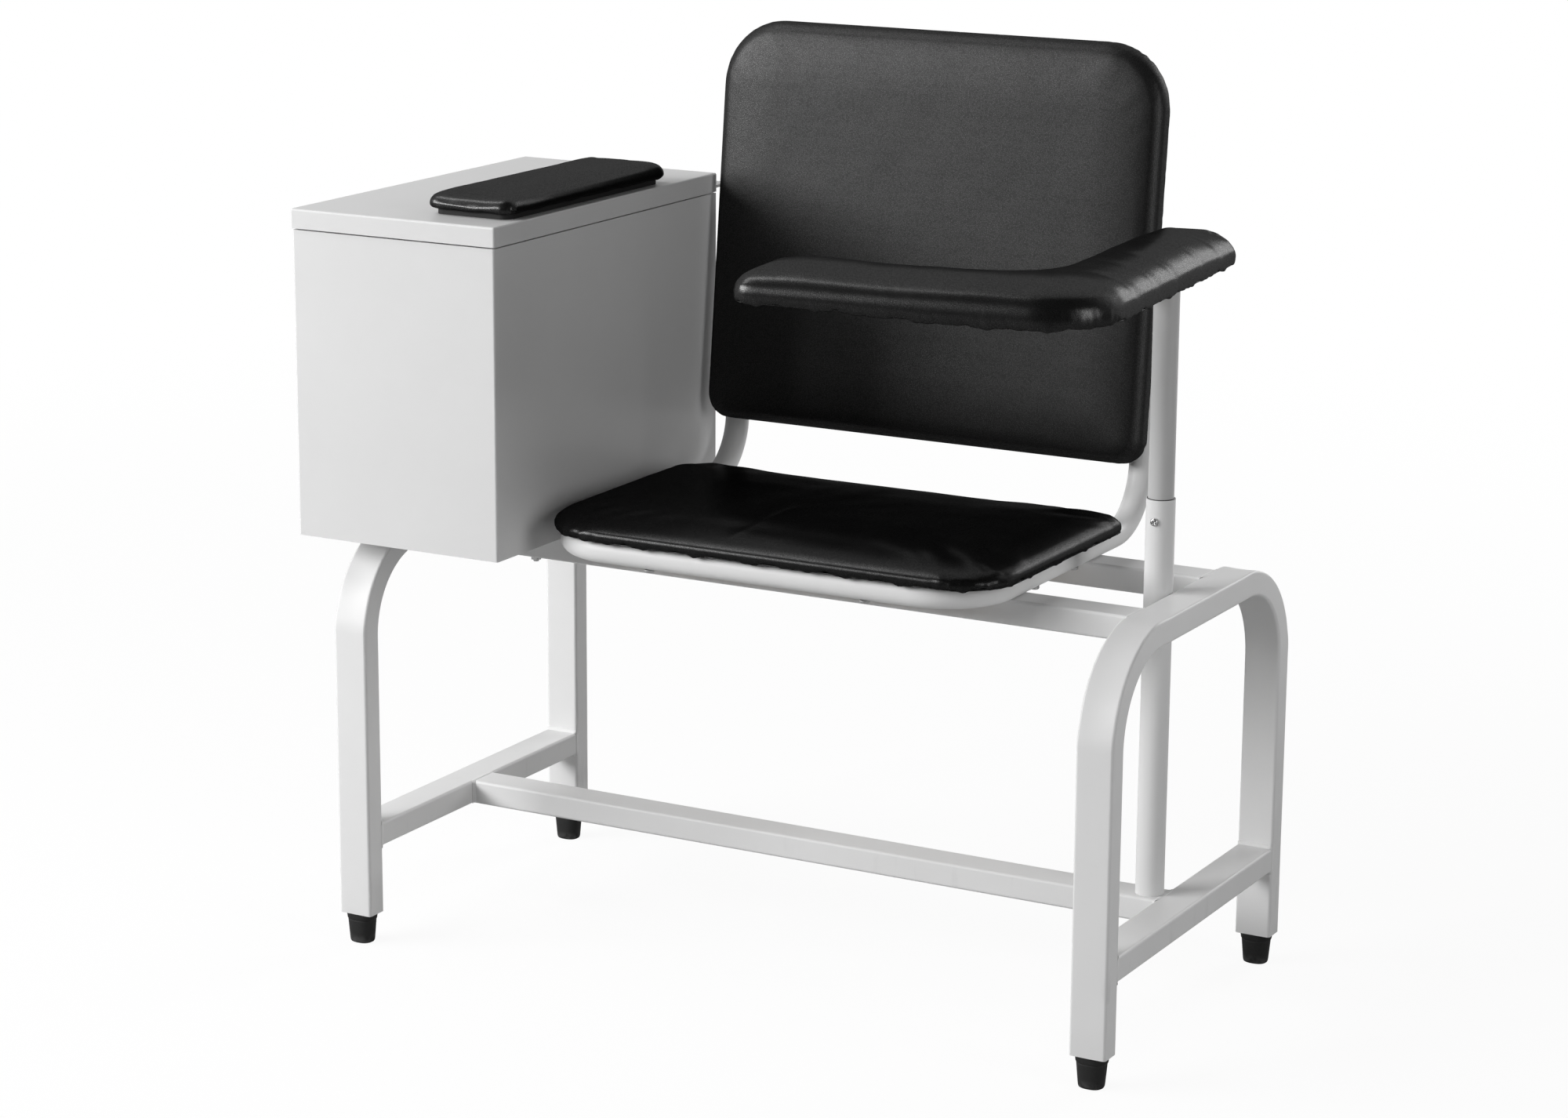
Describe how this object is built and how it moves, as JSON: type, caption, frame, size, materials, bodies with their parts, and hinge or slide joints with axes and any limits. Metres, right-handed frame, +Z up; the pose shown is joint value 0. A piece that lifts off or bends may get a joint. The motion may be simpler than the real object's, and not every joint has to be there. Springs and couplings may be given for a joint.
{
  "type": "phlebotomy chair",
  "caption": "Blood-draw chair: padded seat and back on a tubular steel frame, a swinging padded arm on a post and a lidded storage cabinet with an arm pad.",
  "frame": {"origin": "on the floor, at the middle of the footprint that the whole chair covers", "axes": "+X to the sitter's left, towards the arm post; +Y to the back of the chair; +Z up"},
  "size_m": [0.9097, 0.563, 0.9366],
  "materials": {
    "frame_paint": "gloss",
    "cabinet_paint": "gloss",
    "vinyl": "satin",
    "lining": "matte",
    "plywood": "matte",
    "foot_rubber": "matte",
    "cap_plastic": "satin",
    "bush_nylon": "satin",
    "bright_steel": "satin"
  },
  "bodies": {
    "frame": {"left_end_hoop": "frame_paint", "right_end_hoop": "frame_paint", "left_cross_bar": "frame_paint", "right_cross_bar": "frame_paint", "long_stretcher": "frame_paint", "front_seat_beam": "frame_paint", "rear_seat_beam": "frame_paint", "front_left_foot": "foot_rubber", "front_right_foot": "foot_rubber", "rear_left_foot": "foot_rubber", "rear_right_foot": "foot_rubber", "seat_back_tube": "frame_paint", "left_upright_cap": "cap_plastic", "right_upright_cap": "cap_plastic", "seat_board": "plywood", "seat_cushion": "vinyl", "seat_screws": "bright_steel", "back_board": "plywood", "back_cushion": "vinyl", "back_lining": "lining", "back_screws": "bright_steel", "arm_post_tube": "frame_paint", "cabinet_wrap": "cabinet_paint", "cabinet_back": "cabinet_paint", "cabinet_floor": "cabinet_paint", "cabinet_bolts": "bright_steel", "cabinet_washers": "bright_steel", "cabinet_nuts": "bright_steel", "lid_bumpers": "foot_rubber", "hinge_fixed_leaf": "bright_steel", "hinge_pin": "bright_steel"},
    "lid": {"cabinet_lid": "cabinet_paint", "hinge_moving_leaf": "bright_steel", "lid_stop_lugs": "cabinet_paint", "lid_pad_base": "plywood", "lid_pad_cushion": "vinyl", "lid_pad_screws": "bright_steel"},
    "arm_mast": {"arm_inner_tube": "frame_paint", "arm_bush": "bush_nylon"},
    "arm": {"arm_spigot": "bright_steel", "arm_strap": "bright_steel", "arm_board": "plywood", "arm_cushion": "vinyl", "arm_screws": "bright_steel"},
    "clamp_screw": {"arm_clamp_screw": "bright_steel"}
  },
  "joints": [
    {"name": "lid_hinge", "type": "hinge", "parent": "frame", "child": "lid", "pos_m": [-0.3339, 0.2467, 0.7512], "axis": [-1, 0, 0], "range_deg": [0, 104]},
    {"name": "arm_height", "type": "slide", "parent": "frame", "child": "arm_mast", "axis": [0, 0, 1], "range_m": [-0.1, 0.06]},
    {"name": "arm_swing", "type": "hinge", "parent": "arm_mast", "child": "arm", "pos_m": [0.399, 0.0389, 0.738], "axis": [0, 0, 1], "range_deg": [-20, 110]},
    {"name": "clamp_screw_turn", "type": "hinge", "parent": "frame", "child": "clamp_screw", "pos_m": [0.399, 0.0246, 0.507], "axis": [0, -1, 0], "range_deg": [0, 360]}
  ]
}
